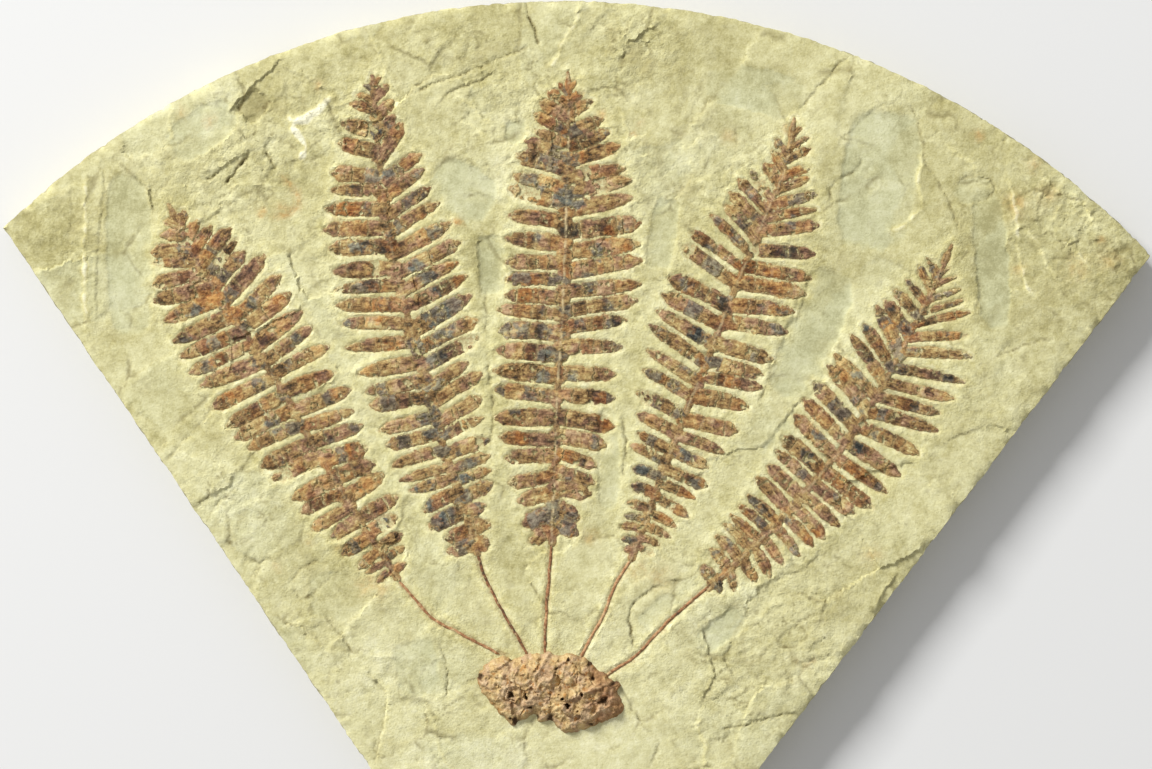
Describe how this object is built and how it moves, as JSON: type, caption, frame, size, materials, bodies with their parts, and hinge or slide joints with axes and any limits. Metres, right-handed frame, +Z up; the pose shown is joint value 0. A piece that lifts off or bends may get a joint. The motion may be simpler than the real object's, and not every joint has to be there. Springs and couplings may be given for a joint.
{
  "type": "fossil fern plate",
  "caption": "Fan-shaped slab of pale stone lying flat, with fern fronds, stalks and a root crown preserved on its upper face.",
  "frame": {"origin": "under the middle of the slab, on its underside", "axes": "+X along the slab's width, +Y from the root crown towards the frond tips, +Z up out of the fossil face"},
  "size_m": [0.46, 0.32, 0.025],
  "materials": {
    "limestone": "rough, split along its bedding",
    "leaf_film": "mottled mineral film, dull",
    "stalk_film": "iron-stained mineral film, dull",
    "crown_stone": "granular and pitted"
  },
  "bodies": {
    "root": {"slab": "limestone", "frond_far_left": "leaf_film", "frond_left": "leaf_film", "frond_middle": "leaf_film", "frond_right": "leaf_film", "frond_far_right": "leaf_film", "stalk_far_left": "stalk_film", "stalk_left": "stalk_film", "stalk_middle": "stalk_film", "stalk_right": "stalk_film", "stalk_far_right": "stalk_film", "root_crown": "crown_stone"}
  },
  "joints": []
}
